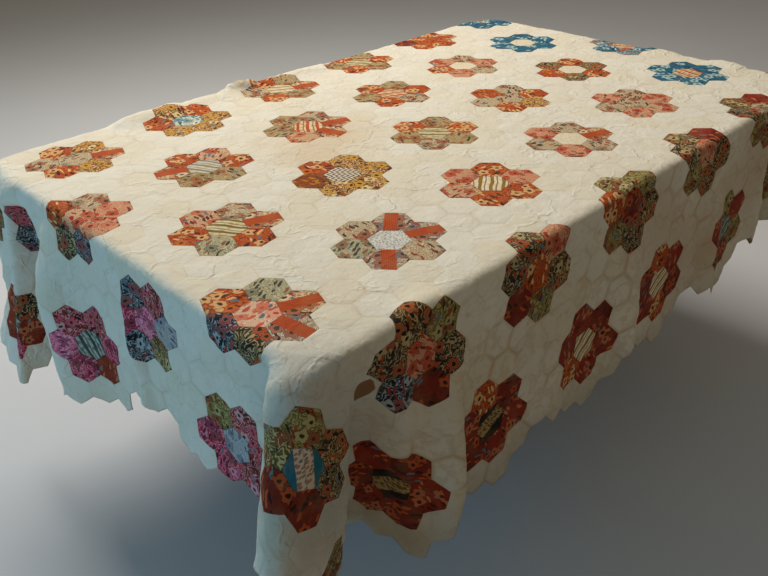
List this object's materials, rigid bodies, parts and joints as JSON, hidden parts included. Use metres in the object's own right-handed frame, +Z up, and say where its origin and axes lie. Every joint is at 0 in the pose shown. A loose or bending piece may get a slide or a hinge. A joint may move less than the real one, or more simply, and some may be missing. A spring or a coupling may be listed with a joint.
{
  "type": "patchwork quilt draped over a trestle table",
  "caption": "Hexagon patchwork quilt, thin and unpadded, draped over a plain wooden trestle table, with deep corner lobes, soft flutes down the sides and a hem that follows the hexagons.",
  "frame": {"origin": "centre of the bounding box, on the floor under the table", "axes": "+Z up, +X along the table's length, -Y towards the near long side, with the deepest corner lobe at -X -Y"},
  "size_m": [1.8372, 1.3866, 0.7624],
  "materials": {
    "quilt_cloth": "matte",
    "table_wood": "satin"
  },
  "bodies": {
    "root": {"quilt": "quilt_cloth", "table_top": "table_wood", "bearer_left": "table_wood", "bearer_right": "table_wood", "post_left": "table_wood", "post_right": "table_wood", "foot_left": "table_wood", "foot_right": "table_wood", "stretcher": "table_wood"}
  },
  "joints": []
}
